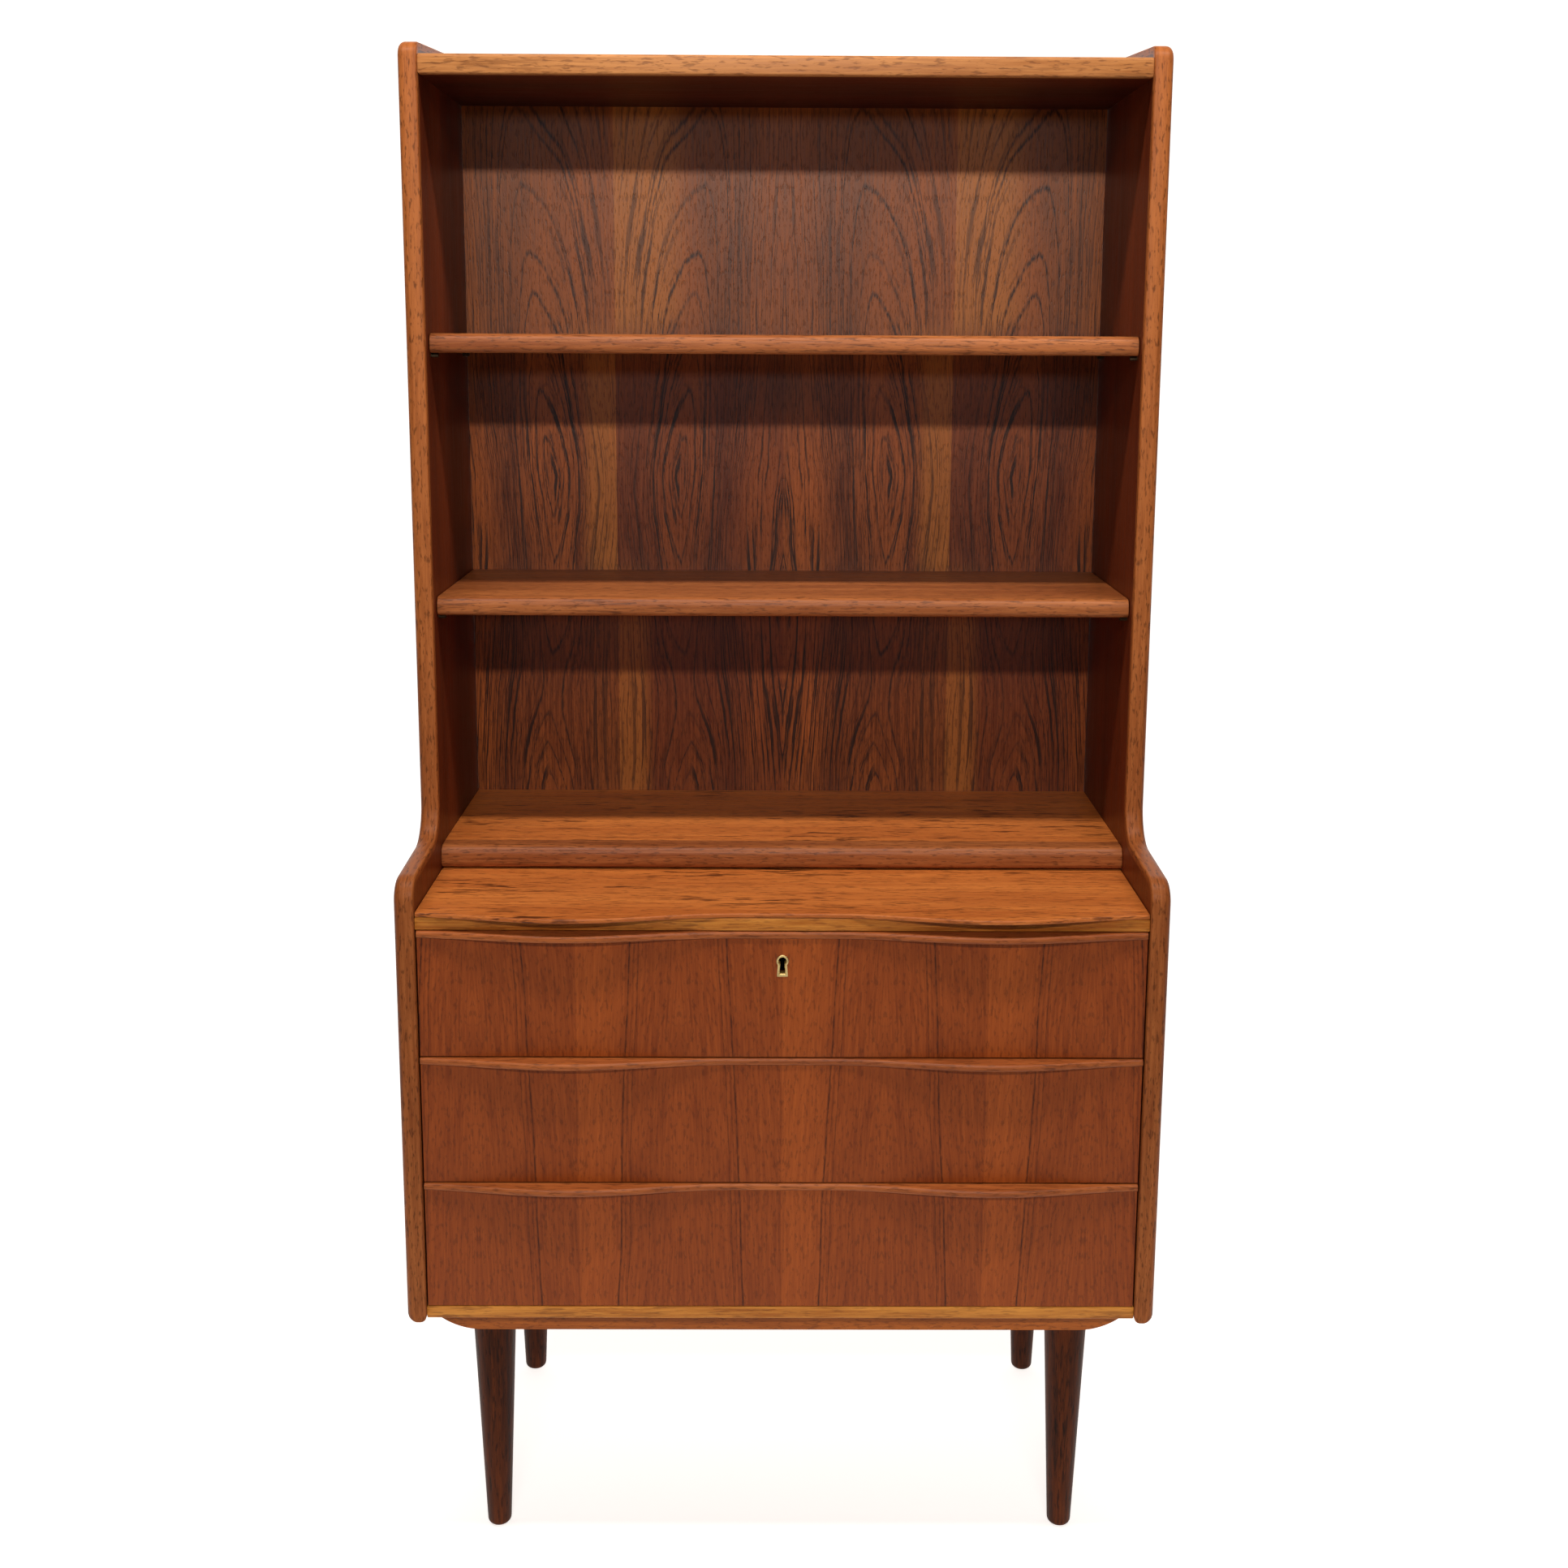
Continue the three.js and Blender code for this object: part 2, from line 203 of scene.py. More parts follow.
def rounded_box_outline(low, high, radii):
    """A rectangle in (y, z) with a radius for each corner: front foot, front top, rear top, rear foot."""
    corners = [(low[0], low[1], 1, 1, 180), (low[0], high[1], 1, -1, 90),
               (high[0], high[1], -1, -1, 0), (high[0], low[1], -1, 1, -90)]
    outline = []
    for (y, z, towards_y, towards_z, first), radius in zip(corners, radii):
        if radius == 0:
            outline.append((y, z))
            continue
        centre = (y + towards_y * radius, z + towards_z * radius)
        outline += arc(centre, radius, first + 90, first, 6)
    return outline


# ---------------------------------------------------------------------------------------------
# Stage, light and camera.

def make_camera():
    data = bpy.data.cameras.new("camera")
    data.lens = CAMERA_LENS
    data.sensor_width = CAMERA_SENSOR
    data.shift_y = CAMERA_SHIFT
    camera = bpy.data.objects.new("camera", data)
    bpy.context.scene.collection.objects.link(camera)
    camera.matrix_world = (
        Matrix.Translation(CAMERA_PLACE)
        @ Matrix.Rotation(math.radians(CAMERA_TURN), 4, "Z")
        @ Matrix.Rotation(math.radians(90 - CAMERA_TILT), 4, "X")
        @ Matrix.Rotation(math.radians(CAMERA_ROLL), 4, "Z")
    )
    bpy.context.scene.camera = camera


def area_light(name, place, target, size, power, colour):
    data = bpy.data.lights.new(name, "AREA")
    data.shape = "RECTANGLE"
    data.size, data.size_y = size
    data.energy = power
    data.color = colour
    light = bpy.data.objects.new(name, data)
    light.location = place
    light.rotation_euler = (Vector(target) - Vector(place)).to_track_quat("-Z", "Y").to_euler()
    bpy.context.scene.collection.objects.link(light)


def floor_material():
    """A pale matt floor. Its glow grows smoothly towards the desk and stays even behind it."""
    pale = bpy.data.materials.new("pale_floor")
    pale.use_nodes = True
    tree = pale.node_tree
    shader = tree.nodes["Principled BSDF"]
    shader.inputs["Base Color"].default_value = FLOOR_COLOUR
    shader.inputs["Roughness"].default_value = 0.9
    shader.inputs["Specular IOR Level"].default_value = 0.0
    shader.inputs["Emission Color"].default_value = GLOW_COLOUR
    place = tree.nodes.new("ShaderNodeTexCoord").outputs["Object"]
    split = tree.nodes.new("ShaderNodeSeparateXYZ")
    rise = tree.nodes.new("ShaderNodeMapRange")
    rise.interpolation_type = "SMOOTHSTEP"
    for socket, value in zip(rise.inputs, (0, GLOW_START, REAR, 0.0, GLOW_STRENGTH)):
        socket.default_value = value
    tree.links.new(place, split.inputs[0])
    tree.links.new(split.outputs["Y"], rise.inputs[0])
    tree.links.new(rise.outputs[0], shader.inputs["Emission Strength"])
    return pale


def make_stage():
    """A pale floor that curves up into a backdrop."""
    outline = [(FLOOR_FRONT, 0.0)]
    outline += arc((FLOOR_REAR - BACKDROP_BEND, BACKDROP_BEND), BACKDROP_BEND, -90, 0, BACKDROP_STEPS)
    outline.append((FLOOR_REAR, BACKDROP_HEIGHT))
    vertices = [(x, y, z) for x in (-FLOOR_SIDE, FLOOR_SIDE) for y, z in outline]
    count = len(outline)
    faces = [(k, k + 1, count + k + 1, count + k) for k in range(count - 1)]
    mesh = bpy.data.meshes.new("floor")
    mesh.from_pydata(vertices, [], faces)
    mesh.shade_smooth()
    mesh.materials.append(floor_material())
    floor = bpy.data.objects.new("floor", mesh)
    bpy.context.scene.collection.objects.link(floor)


def make_light():
    """Two ceiling tubes, one almost above the desk, a low cool window, and a weak even light all round."""
    world = bpy.data.worlds.new("room")
    world.use_nodes = True
    background = world.node_tree.nodes["Background"]
    background.inputs["Color"].default_value = (*COOL, 1)
    background.inputs["Strength"].default_value = EVEN_LIGHT
    bpy.context.scene.world = world
    bpy.context.scene.view_settings.view_transform = "Standard"
    area_light("near_tube", (0, FRONT - 0.46, CEILING), (0, FRONT, 0.7), (2.4, 0.12), 37, WARM)
    area_light("far_tube", (0, FRONT - 3.2, CEILING), (0, FRONT, 0.8), (1.3, 0.12), 56, WARM)
    area_light("low_window", (0, FRONT - 4, 1.86), (0, FRONT, 1.4), (3, 0.22), 13, COOL)


# ---------------------------------------------------------------------------------------------
# Materials.

def shade(red, green, blue):
    """A colour as it is named on a colour card, 0 to 255, made linear."""
    channels = [channel / 255 for channel in (red, green, blue)]
    return tuple(c / 12.92 if c <= 0.04045 else ((c + 0.055) / 1.055) ** 2.4 for c in channels)


DRAWER_DARK = shade(108, 43, 13)
DRAWER_LIGHT = shade(164, 80, 28)
DRAWER_LINE = shade(48, 19, 7)
BACK_DARK = shade(94, 41, 16)
BACK_LIGHT = shade(186, 98, 40)
BACK_SAP_AND_PAINTED_LIGHT = shade(214, 132, 56)
BACK_RED = shade(106, 41, 19)
BACK_LINE = shade(40, 17, 9)
REAR_DARK = shade(126, 78, 44)
REAR_LIGHT = shade(176, 124, 78)

PLY_LIGHT = shade(206, 164, 112)
PLY_DARK = shade(182, 134, 84)
PLY_PORE = shade(140, 94, 54)
SHOW_DARK = shade(128, 66, 30)
SHOW_LIGHT = shade(172, 100, 52)
PANEL_BAND = shade(70, 28, 12)
PANEL_PORE = shade(56, 24, 11)

# The drawer fronts' veneer: the width of a leaf, the height where its lines are in place and how far
# they lean for each metre above it, and the lines as (distance from the joint, half width, strength).
DRAWER_LEAF = 0.110
LEAN_HEIGHT = 0.314
LEAN = 0.042
DRAWER_LINES = ((0.0405, 0.0017, 1.0), (0.0500, 0.0013, 0.7), (0.0450, 0.0010, 0.4))

# The back's veneer: the width of a leaf, how far its first joint stands aside, the eye in each leaf as
# a distance from the joint and a height, the smaller heart under it, and the knot.
BACK_LEAF = 0.208
BACK_SHIFT = 1 * MM
EYE_ASIDE = 0.082
EYE_HEIGHT = 1.195
LOWER_HEART = (0.090, 0.770)
KNOT = (0.214, 1.300)

# The two ranges of height over which the back's pale sapwood changes sides. Above the higher one the back is
# also lightened a little as painted light.
SAP_LOW = (1.03, 1.10)
SAP_HIGH = (1.33, 1.40)

# How fast the eye's rings rise above it, how round their tops are (2 is an ellipse, 1 is a point), and
# the distances from the eye of the rings that show dark.
RING_RISE = 0.147
ARCH_POWER = 1.5
DARK_RINGS = (0.0085, 0.0165, 0.0255, 0.0335, 0.0405, 0.0522, 0.0655, 0.0685, 0.0770, 0.0840,
              0.0920, 0.1010, 0.1120)


class Recipe:
    """One node material, built a step at a time. Lengths are in metres on the desk."""

    def __init__(self, name):
        self.material = bpy.data.materials.new(name)
        self.material.use_nodes = True
        self.tree = self.material.node_tree
        self.shader = self.tree.nodes["Principled BSDF"]
        self.place = self.add("ShaderNodeTexCoord").outputs["Object"]

    def feed(self, socket, value):
        if isinstance(value, bpy.types.NodeSocket):
            self.tree.links.new(value, socket)
        elif isinstance(value, tuple) and socket.type == "RGBA":
            socket.default_value = (*value, 1)
        else:
            socket.default_value = value

    def add(self, kind, *inputs, **settings):
        node = self.tree.nodes.new(kind)
        for key, value in settings.items():
            setattr(node, key, value)
        for socket, value in zip(node.inputs, inputs):
            self.feed(socket, value)
        return node

    def math(self, operation, *inputs):
        return self.add("ShaderNodeMath", *inputs, operation=operation).outputs[0]

    def plus(self, first, second):
        return self.math("ADD", first, second)

    def minus(self, first, second):
        return self.math("SUBTRACT", first, second)

    def times(self, first, second):
        return self.math("MULTIPLY", first, second)

    def split(self):
        return self.add("ShaderNodeSeparateXYZ", self.place).outputs

    def join(self, x, y, z):
        return self.add("ShaderNodeCombineXYZ", x, y, z).outputs[0]

    def stretch(self, vector, rates):
        return self.add("ShaderNodeVectorMath", vector, rates, operation="MULTIPLY").outputs[0]

    def noise(self, rates, detail=2.0, roughness=0.5, vector=None, seed=0.0):
        """Noise, 0 to 1 about 0.5, that changes at a rate per metre in each direction."""
        node = self.add("ShaderNodeTexNoise", noise_dimensions="4D")
        self.feed(node.inputs["Vector"], self.stretch(vector or self.place, rates))
        self.feed(node.inputs["W"], seed)
        self.feed(node.inputs["Scale"], 1.0)
        self.feed(node.inputs["Detail"], detail)
        self.feed(node.inputs["Roughness"], roughness)
        return node.outputs[0]

    def ramp(self, value, low, high, start=0.0, end=1.0):
        """A smooth step from start to end as the value goes from low to high."""
        node = self.add("ShaderNodeMapRange", value, low, high, start, end)
        node.interpolation_type = "SMOOTHSTEP"
        return node.outputs[0]

    def mix(self, share, first, second):
        """The first colour where the share is 0, the second where it is 1."""
        node = self.add("ShaderNodeMix", data_type="RGBA")
        for socket, value in zip((node.inputs[0], node.inputs[6], node.inputs[7]), (share, first, second)):
            self.feed(socket, value)
        return node.outputs[2]

    def line(self, value, centre, half_width):
        """1 on a line where the value is the centre, falling to 0 at half its width to either side."""
        away = self.math("ABSOLUTE", self.minus(value, centre))
        return self.ramp(away, 0.0, half_width, 1.0, 0.0)

    def finish(self, colour, roughness, height, depth, shine=0.22):
        """The material with its colour, its polish and a fine relief of the depth given."""
        bump = self.add("ShaderNodeBump")
        bump.inputs["Strength"].default_value = 0.6
        bump.inputs["Distance"].default_value = depth
        self.feed(bump.inputs["Height"], height)
        self.feed(self.shader.inputs["Normal"], bump.outputs[0])
        self.feed(self.shader.inputs["Base Color"], colour)
        self.feed(self.shader.inputs["Roughness"], roughness)
        self.shader.inputs["Specular IOR Level"].default_value = shine
        return self.material

    def finish_wood(self, colour, fine, pores, roughness, depth=0.15 * MM, shine=0.22):
        """A polish that is a little uneven along the fibres, with the pores sunk into it."""
        rough = self.plus(self.times(fine, 0.06), roughness)
        height = self.minus(self.times(fine, 0.2), pores)
        return self.finish(colour, rough, height, depth, shine)


def along(axis, lengthwise, crosswise):
    """Rates for noise that is drawn out along one axis, 0 to 2."""
    return tuple(lengthwise if k == axis else crosswise for k in range(3))


def fibres(recipe, axis, vector=None, seed=0.0, fleck_length=0.009):
    """Fine fibres along an axis, -1 to 1, and the short dark pores between them, 0 to 1."""
    fine = recipe.noise(along(axis, 14, 300), 4.0, 0.7, vector, seed)
    fine = recipe.ramp(fine, 0.30, 0.70, -1.0, 1.0)
    pores = recipe.noise(along(axis, 1 / fleck_length, 360), 2.0, 0.6, vector, seed + 3)
    return fine, recipe.ramp(pores, 0.53, 0.65)


def straight_wood(name, axis, light, dark, pore, seed, bands=0.5, flecks=0.5, fleck_length=0.009,
                  dashes=0.0, dash_rate=330, roughness=0.42, shine=0.22, vector_attribute=None):
    """Straight-grained wood: broad tone, darker bands, fibres, short pores and longer dark dashes."""
    recipe = Recipe(name)
    vector = recipe.place
    if vector_attribute:
        vector = recipe.add("ShaderNodeAttribute", attribute_name=vector_attribute).outputs["Vector"]
    broad = recipe.noise(along(axis, 1.3, 22), 3.0, 0.6, vector, seed)
    band = recipe.noise(along(axis, 2.5, 110), 3.0, 0.6, vector, seed + 1)
    fine, pores = fibres(recipe, axis, vector, seed, fleck_length)
    tone = recipe.plus(recipe.ramp(broad, 0.25, 0.75), recipe.times(fine, 0.32))
    colour = recipe.mix(tone, dark, light)
    colour = recipe.mix(recipe.times(recipe.ramp(band, 0.5, 0.7), bands), colour, dark)
    if dashes:
        dash = recipe.noise(along(axis, 18, dash_rate), 3.0, 0.65, vector, seed + 5)
        patch = recipe.noise(along(axis, 3, 16), 2.0, 0.5, vector, seed + 6)
        dash = recipe.times(recipe.ramp(dash, 0.54, 0.62), recipe.ramp(patch, 0.40, 0.62, 0.15, 1.0))
        colour = recipe.mix(recipe.times(dash, dashes), colour, pore)
    colour = recipe.mix(recipe.times(pores, flecks), colour, pore)
    return recipe.finish_wood(colour, fine, pores, roughness, shine=shine)


def leaf_number(recipe, x, width):
    """Which leaf of veneer x is on, counted from the origin."""
    return recipe.math("FLOOR", recipe.math("DIVIDE", x, width))


def oddness(recipe, number):
    """1 for an odd number and 0 for an even one."""
    return recipe.math("FLOORED_MODULO", number, 2.0)


def drawer_veneer():
    """Upright veneer on the drawer fronts: mirrored leaves, each with two dark lines and a fainter one."""
    recipe = Recipe("drawer_veneer")
    x, y, z = recipe.split()
    drift = recipe.noise((3, 1, 5), 2.0, 0.5)
    wander = recipe.times(recipe.minus(drift, 0.5), 0.010)
    mirrored = recipe.plus(recipe.math("PINGPONG", x, DRAWER_LEAF), wander)
    tilt = recipe.times(recipe.minus(z, LEAN_HEIGHT), LEAN)
    across = recipe.minus(mirrored, tilt)
    grain = recipe.join(across, y, z)
    broad = recipe.noise((34, 0, 0.9), 2.0, 0.5, grain)
    fine, pores = fibres(recipe, 2, grain)
    cloud = recipe.noise((9, 0, 7), 3.0, 0.55, None, 2.0)
    odd_leaf = oddness(recipe, leaf_number(recipe, x, DRAWER_LEAF))
    pale = recipe.times(recipe.ramp(mirrored, 0.020, 0.075, 0.32, 0.0), recipe.minus(1.0, odd_leaf))
    tone = recipe.plus(recipe.times(broad, 0.35), recipe.times(cloud, 0.35))
    tone = recipe.plus(tone, pale)
    tone = recipe.plus(tone, recipe.times(fine, 0.26))
    tone = recipe.plus(tone, 0.11)
    colour = recipe.mix(tone, DRAWER_DARK, DRAWER_LIGHT)
    lines = recipe.ramp(recipe.noise((210, 0, 1.2), 1.0, 0.4, grain, 5.0), 0.62, 0.74, 0.0, 0.25)
    for centre, half_width, strength in DRAWER_LINES:
        line = recipe.times(recipe.line(across, centre, half_width), strength)
        lines = recipe.math("MAXIMUM", lines, line)
    breaks = recipe.ramp(recipe.noise((400, 0, 60), 2.0, 0.6, grain, 9.0), 0.34, 0.60, 0.25, 1.0)
    colour = recipe.mix(recipe.times(lines, recipe.times(breaks, 0.85)), colour, DRAWER_LINE)
    colour = recipe.mix(recipe.times(pores, 0.32), colour, DRAWER_LINE)
    return recipe.finish_wood(colour, fine, pores, 0.44)


def heart(recipe, u, z, place_u, place_z, upright, depth, near=1.0, far=1.0, crowding=0.0):
    """Distance to a heart of growth rings, drawn out upwards; it makes an eye with arches round it.
    A flank stands steeper as its factor, near or far from the joint, is larger. Crowding packs the
    rings closer, and so more upright, as they get farther from the heart."""
    du = recipe.minus(u, place_u)
    packed = recipe.times(recipe.times(du, du), crowding)
    du = recipe.math("MAXIMUM", recipe.times(du, far), recipe.times(du, -near))
    du = recipe.plus(du, packed)
    dz = recipe.times(recipe.math("ABSOLUTE", recipe.minus(z, place_z)), upright)
    total = recipe.plus(recipe.math("POWER", du, ARCH_POWER), recipe.math("POWER", dz, ARCH_POWER))
    return recipe.math("POWER", recipe.plus(total, depth**ARCH_POWER), 1 / ARCH_POWER)


def book_matched_rings(recipe, z, mirrored, match):
    """The growth rings' own measure on a leaf: arches over an eye, with a fan of grain below a knot.
    Also how far aside of the arches' axis a place is: 0 on the axis, about 1 far out."""
    sway = recipe.minus(recipe.noise((9, 0, 4), 3.0, 0.55, match, 2.0), 0.5)
    own = recipe.minus(recipe.noise((9, 0, 5), 2.0, 0.5, None, 4.0), 0.5)
    u = recipe.plus(mirrored, recipe.times(sway, 0.026))
    u = recipe.plus(u, recipe.times(own, 0.010))
    below_knot = recipe.ramp(z, 1.00, 1.265, 1.0, 0.0)
    near_knot = recipe.ramp(mirrored, 0.115, 0.195)
    u = recipe.plus(u, recipe.times(recipe.times(below_knot, near_knot), 0.055))
    above_eye = recipe.math("MAXIMUM", recipe.minus(z, EYE_HEIGHT), 0.0)
    lean = recipe.times(above_eye, recipe.ramp(mirrored, 0.0, 0.13, 0.0, 0.085))
    u = recipe.minus(u, lean)
    eye = heart(recipe, u, z, EYE_ASIDE, EYE_HEIGHT, RING_RISE, 0.003, 0.6, 1.1, 6.0)
    lower = heart(recipe, u, z, *LOWER_HEART, 0.24, 0.004)
    rings = recipe.math("SMOOTH_MIN", eye, recipe.plus(lower, 0.004), 0.03)
    fray = recipe.minus(recipe.noise((420, 0, 10), 2.0, 0.6, match, 14.0), 0.5)
    rings = recipe.plus(rings, recipe.times(fray, 0.0024))
    aside = recipe.math("DIVIDE", recipe.math("ABSOLUTE", recipe.minus(u, EYE_ASIDE)), rings)
    return rings, aside


def dark_rings(recipe, rings, aside, z, mirrored, match, number):
    """The dark growth rings, 0 to 1: ragged, of uneven strength, and faint beside every second joint."""
    ragged = recipe.ramp(recipe.noise((500, 0, 70), 2.0, 0.6, match, 7.0), 0.34, 0.56, 0.25, 1.0)
    half_width = recipe.ramp(aside, 0.0, 0.8, 0.0009, 0.0012)
    lines = 0.0
    for order, distance in enumerate(DARK_RINGS):
        by_ring = recipe.join(order * 3.7, recipe.times(number, 5.3), z)
        strength = recipe.ramp(recipe.noise((1, 1, 4), 1.0, 0.5, by_ring, 3.0), 0.36, 0.56, 0.5, 1.0)
        ring = recipe.times(recipe.line(rings, distance, half_width), strength)
        lines = recipe.math("MAXIMUM", ring, lines)
    lines = recipe.times(lines, ragged)
    return recipe.times(lines, recipe.ramp(mirrored, 0.010, 0.065, 0.25, 1.0))


def pale_sapwood(recipe, z, mirrored, odd_leaf, upper):
    """Pale sapwood beside every second joint, 0 to about 0.7: on its right high up and low down, and
    on its left between."""
    even_leaf = recipe.minus(1.0, odd_leaf)
    lower = recipe.ramp(z, *SAP_LOW, 1.0, 0.0)
    left = recipe.times(odd_leaf, recipe.ramp(z, *SAP_LOW, 0.1, 0.7))
    left = recipe.times(left, recipe.minus(1.0, upper))
    right = recipe.times(even_leaf, recipe.math("MAXIMUM", lower, upper))
    width = recipe.plus(0.042, recipe.times(upper, 0.045))
    edge = recipe.ramp(recipe.math("DIVIDE", mirrored, width), 0.6, 1.15, 0.7, 0.0)
    return recipe.times(edge, recipe.math("MAXIMUM", left, right))


def book_matched_veneer():
    """Crown-cut veneer on the back: mirrored leaves with arches, an eye in each and a knot between two, with
    a little painted light over its upper part.
    The face behind is plain ply."""
    recipe = Recipe("book_matched_veneer")
    x, y, z = recipe.split()
    shifted = recipe.plus(x, BACK_LEAF - BACK_SHIFT)
    mirrored = recipe.math("PINGPONG", shifted, BACK_LEAF)
    number = leaf_number(recipe, shifted, BACK_LEAF)
    odd_leaf = oddness(recipe, number)
    match = recipe.join(mirrored, 0.0, z)
    rings, aside = book_matched_rings(recipe, z, mirrored, match)
    grain = recipe.join(rings, 0.0, z)
    lines = dark_rings(recipe, rings, aside, z, mirrored, match, number)

    flank = recipe.ramp(aside, 0.30, 0.80, 0.1, 1.0)
    flank = recipe.times(flank, recipe.ramp(mirrored, 0.0, 0.06, 0.5, 1.0))
    hairs = recipe.ramp(recipe.noise((250, 0, 5), 3.0, 0.65, grain, 12.0), 0.51, 0.59)
    hairs = recipe.times(hairs, flank)
    fine = recipe.ramp(recipe.noise((420, 0, 14), 4.0, 0.7, match, 6.0), 0.30, 0.70, -1.0, 1.0)
    pores = recipe.ramp(recipe.noise((400, 0, 80), 2.0, 0.6, match, 8.0), 0.53, 0.64)
    broad = recipe.noise((13, 0, 1.6), 2.0, 0.5, match, 11.0)

    tone = recipe.plus(recipe.ramp(broad, 0.3, 0.72, 0.15, 0.8), recipe.times(fine, 0.3))
    tone = recipe.plus(tone, recipe.ramp(rings, 0.010, 0.050, 0.18, 0.0))
    colour = recipe.mix(tone, BACK_DARK, BACK_LIGHT)
    upper = recipe.ramp(z, *SAP_HIGH)
    colour = recipe.mix(pale_sapwood(recipe, z, mirrored, odd_leaf, upper), colour, BACK_SAP_AND_PAINTED_LIGHT)
    even_leaf = recipe.minus(1.0, odd_leaf)
    redder = recipe.times(even_leaf, recipe.minus(0.35, recipe.times(upper, 0.35)))
    colour = recipe.mix(redder, colour, BACK_RED)
    # Painted light: the upper part of the back is lightened a little with the sapwood colour, as the
    # brighter light up there.
    colour = recipe.mix(recipe.times(upper, 0.15), colour, BACK_SAP_AND_PAINTED_LIGHT)
    halo = heart(recipe, mirrored, z, *KNOT, 1.25, 0.002)
    colour = recipe.mix(recipe.ramp(halo, 0.010, 0.085, 0.4, 0.0), colour, BACK_LINE)
    for figure, strength in ((hairs, 0.95), (lines, 0.95), (pores, 0.4)):
        colour = recipe.mix(recipe.times(figure, strength), colour, BACK_LINE)

    rear_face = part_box("back_upper")[1].y
    plain = recipe.mix(recipe.plus(recipe.times(fine, 0.3), broad), REAR_DARK, REAR_LIGHT)
    colour = recipe.mix(recipe.ramp(y, rear_face - 2 * MM, rear_face - 1 * MM), colour, plain)
    return recipe.finish_wood(colour, fine, pores, 0.40, 0.2 * MM, 0.38)


def two_sided_veneer(name, axis, seed, through, low, high, inner, outer):
    """Veneer on both faces of a panel. The inner pair of colours turns into the outer pair as the
    distance from the origin, along the axis that goes through the panel, goes from low to high."""
    recipe = Recipe(name)
    broad = recipe.noise(along(axis, 0.8, 14), 2.0, 0.5, None, seed)
    bands = recipe.noise(along(axis, 1.6, 90), 3.0, 0.6, None, seed + 1)
    fine, pores = fibres(recipe, axis)
    tone = recipe.plus(recipe.ramp(broad, 0.3, 0.7), recipe.times(fine, 0.28))
    share = recipe.ramp(recipe.math("ABSOLUTE", recipe.split()[through]), low, high)
    colour = recipe.mix(share, recipe.mix(tone, *inner), recipe.mix(tone, *outer))
    dark_bands = recipe.times(recipe.ramp(bands, 0.52, 0.7), 0.4)
    colour = recipe.mix(dark_bands, colour, PANEL_BAND)
    colour = recipe.mix(recipe.times(pores, 0.35), colour, PANEL_PORE)
    return recipe.finish_wood(colour, fine, pores, 0.40)


def metal(name, colour, roughness, seed):
    """Handled metal: a little uneven in colour and polish."""
    recipe = Recipe(name)
    cloud = recipe.noise((160, 160, 160), 3.0, 0.6, None, seed)
    scratch = recipe.noise((60, 900, 900), 2.0, 0.5, None, seed + 1)
    dull = tuple(channel * 0.6 for channel in colour)
    recipe.shader.inputs["Metallic"].default_value = 1.0
    rough = recipe.plus(recipe.times(cloud, 0.25), roughness - 0.1)
    colour = recipe.mix(recipe.ramp(cloud, 0.35, 0.75), colour, dull)
    return recipe.finish(colour, rough, scratch, 0.02 * MM)


top_teak = straight_wood("top_teak", 0, shade(204, 120, 56), shade(172, 92, 40), shade(74, 32, 12), 31,
                         bands=0.9, flecks=0.45, fleck_length=0.016, dashes=0.9, dash_rate=130)
# Painted shade: the divider and bottom panels' teak is made very dark, standing in for the shade under the
# boards.
panel_teak = straight_wood("panel_teak", 0, shade(88, 30, 13), shade(60, 19, 8), shade(34, 12, 6), 35)
nose_teak = straight_wood("nose_teak", 0, shade(174, 104, 56), shade(132, 70, 35), shade(66, 31, 14), 41,
                          flecks=0.55, fleck_length=0.014, dashes=0.5)
lip_teak = straight_wood("lip_teak", 0, shade(176, 98, 48), shade(132, 66, 31), shade(62, 27, 12), 45,
                         flecks=0.45, fleck_length=0.016, dashes=0.5)
edge_teak = straight_wood("edge_teak", 2, shade(168, 98, 50), shade(122, 62, 28), shade(64, 30, 13), 51,
                          flecks=0.6, fleck_length=0.012, dashes=0.5, shine=0.12, vector_attribute="grain")
golden = straight_wood("golden_edge", 0, shade(218, 146, 62), shade(160, 88, 28), shade(100, 50, 16), 61,
                       bands=0.5, flecks=0.4, fleck_length=0.02, dashes=0.5)
pale_edge = straight_wood("pale_edge", 0, shade(186, 126, 72), shade(150, 92, 48), shade(92, 50, 24), 63,
                          flecks=0.55, fleck_length=0.014, dashes=0.4)
batten_teak = straight_wood("batten_teak", 0, shade(180, 98, 34), shade(134, 65, 20), shade(80, 38, 12), 65,
                            flecks=0.4)
leg_wood = straight_wood("leg_wood", 2, shade(92, 42, 14), shade(40, 15, 5), shade(16, 7, 4), 71,
                         bands=0.7, flecks=0.6, fleck_length=0.02, dashes=0.6, roughness=0.45, shine=0.08)
pale_wood = straight_wood("pale_wood", 0, PLY_LIGHT, PLY_DARK, PLY_PORE, 81,
                          bands=0.4, flecks=0.4, roughness=0.55)
pale_wood_deep = straight_wood("pale_wood_deep", 1, PLY_LIGHT, PLY_DARK, PLY_PORE, 85,
                               bands=0.4, flecks=0.4, roughness=0.55)
front_teak = drawer_veneer()
back_teak = book_matched_veneer()
# The gables' inner faces are darker than their outer faces: partly a deeper red veneer of their own, partly
# painted shade inside the carcass.
side_teak = two_sided_veneer("side_teak", 2, 21, 0, 0.394, 0.404,
                             (shade(86, 32, 12), shade(118, 50, 20)), (SHOW_DARK, SHOW_LIGHT))
